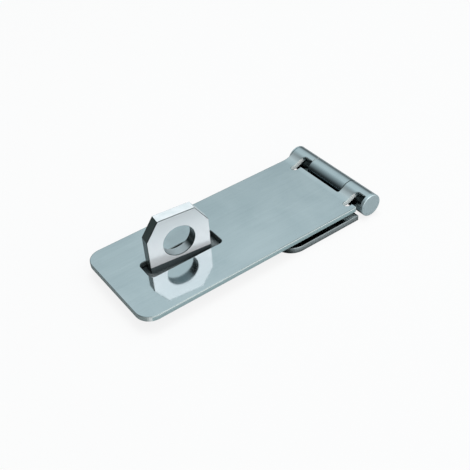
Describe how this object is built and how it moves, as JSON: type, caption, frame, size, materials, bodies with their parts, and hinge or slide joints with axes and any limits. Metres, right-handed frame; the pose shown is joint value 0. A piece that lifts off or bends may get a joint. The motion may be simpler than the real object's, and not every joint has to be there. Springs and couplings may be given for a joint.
{
  "type": "padlock hasp",
  "caption": "Flat steel padlock hasp closed over its staple: slotted strap on a rolled knuckle hinge, countersunk mounting leaf, upright plate loop with a shackle hole.",
  "frame": {"origin": "middle of the mounting leaf's screw holes, on the surface that the hasp is screwed to", "axes": "+Z out of the mounting surface; -X along the strap, from the hinge to the staple and the free end; the hinge axis lies along Y"},
  "size_m": [0.0952, 0.04, 0.0233],
  "materials": {
    "strap_steel": "bright zinc plating, smooth, faint brushing",
    "leaf_steel": "bright zinc plating, satin",
    "pin_steel": "zinc plating, satin",
    "staple_steel": "bright zinc plating, smooth"
  },
  "bodies": {
    "mounting": {"hinge_leaf": "leaf_steel", "staple_base": "staple_steel", "staple_loop": "staple_steel"},
    "strap": {"hasp_strap": "strap_steel", "hinge_pin": "pin_steel"}
  },
  "joints": [
    {"name": "strap_hinge", "type": "hinge", "parent": "mounting", "child": "strap", "pos_m": [0.0203, 0, 0.00475], "axis": [0, 1, 0], "range_deg": [0, 180]}
  ]
}
